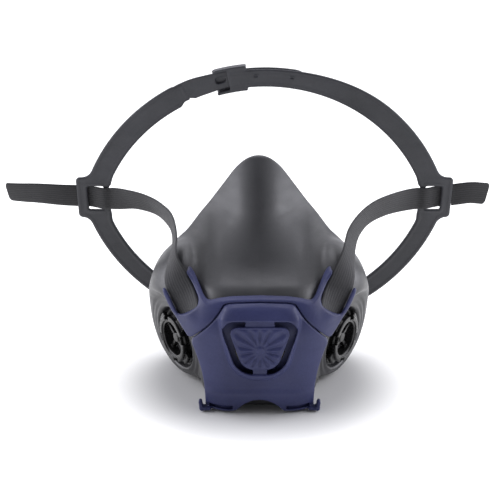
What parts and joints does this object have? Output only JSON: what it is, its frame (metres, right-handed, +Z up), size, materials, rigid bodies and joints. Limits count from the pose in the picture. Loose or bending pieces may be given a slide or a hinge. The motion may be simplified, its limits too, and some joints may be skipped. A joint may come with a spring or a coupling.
{
  "type": "half-mask respirator",
  "caption": "Elastomer half-mask respirator with a blue yoke and valve cover, bayonet filter ports and a woven-strap cradle harness.",
  "frame": {"origin": "point on the flat underside of the chin, on the mask's middle plane", "axes": "+Z up from the table, -Y the way the wearer looks, +X to the right as seen from in front"},
  "size_m": [0.3358, 0.14, 0.1853],
  "materials": {
    "facepiece_rubber": "satin dark grey moulded elastomer",
    "yoke_plastic": "satin dark blue moulded plastic",
    "port_plastic": "satin black moulded plastic",
    "valve_silicone": "matt grey silicone",
    "webbing": "ribbed dark woven elastic",
    "cradle_plastic": "satin dark grey flexible plastic"
  },
  "bodies": {
    "mask": {"facepiece": "facepiece_rubber", "yoke": "yoke_plastic", "exhale_valve_seat": "port_plastic", "port_left": "port_plastic", "port_right": "port_plastic", "port_retainer_left": "port_plastic", "port_retainer_right": "port_plastic", "strap_anchor_left": "webbing", "strap_anchor_right": "webbing"},
    "cover": {"valve_cover": "yoke_plastic"},
    "exhale_flap": {"exhale_valve_flap": "valve_silicone"},
    "inhale_flap_l": {"inhale_flap_left": "valve_silicone"},
    "inhale_flap_r": {"inhale_flap_right": "valve_silicone"},
    "harness": {"strap_left": "webbing", "strap_right": "webbing", "buckle_left": "cradle_plastic", "buckle_right": "cradle_plastic", "neck_band": "cradle_plastic"},
    "crown": {"crown_band_left": "cradle_plastic", "crown_band_right": "cradle_plastic"},
    "tail_l": {"strap_tail_left": "webbing"},
    "tail_r": {"strap_tail_right": "webbing"}
  },
  "joints": [
    {"name": "harness_swing", "type": "hinge", "parent": "mask", "child": "harness", "pos_m": [0, -0.0188, 0.0686], "axis": [1, 0, 0], "range_deg": [0, 40]},
    {"name": "crown_tilt", "type": "hinge", "parent": "harness", "child": "crown", "pos_m": [0.004, 0.06436, 0.11178], "axis": [1, 0, 0], "range_deg": [-15, 25], "stiffness_Nm_per_rad": 0.08},
    {"name": "tail_left_swing", "type": "hinge", "parent": "harness", "child": "tail_l", "pos_m": [-0.1187, 0.06908, 0.09769], "axis": [0, -0.1736, 0.9848], "range_deg": [-35, 45]},
    {"name": "tail_right_swing", "type": "hinge", "parent": "harness", "child": "tail_r", "pos_m": [0.1267, 0.06908, 0.09769], "axis": [0, 0.1736, -0.9848], "range_deg": [-35, 45]},
    {"name": "cover_release", "type": "slide", "parent": "mask", "child": "cover", "axis": [0, -1, 0], "range_m": [0, 0.02]},
    {"name": "exhale_lift", "type": "slide", "parent": "mask", "child": "exhale_flap", "axis": [0, -1, 0], "range_m": [0, 0.0009], "stiffness_N_per_m": 20},
    {"name": "inhale_left_lift", "type": "slide", "parent": "mask", "child": "inhale_flap_l", "axis": [0.8294, 0.5496, 0.0999], "range_m": [0, 0.0011], "stiffness_N_per_m": 20},
    {"name": "inhale_right_lift", "type": "slide", "parent": "mask", "child": "inhale_flap_r", "axis": [-0.8294, 0.5496, 0.0999], "range_m": [0, 0.0011], "stiffness_N_per_m": 20}
  ]
}
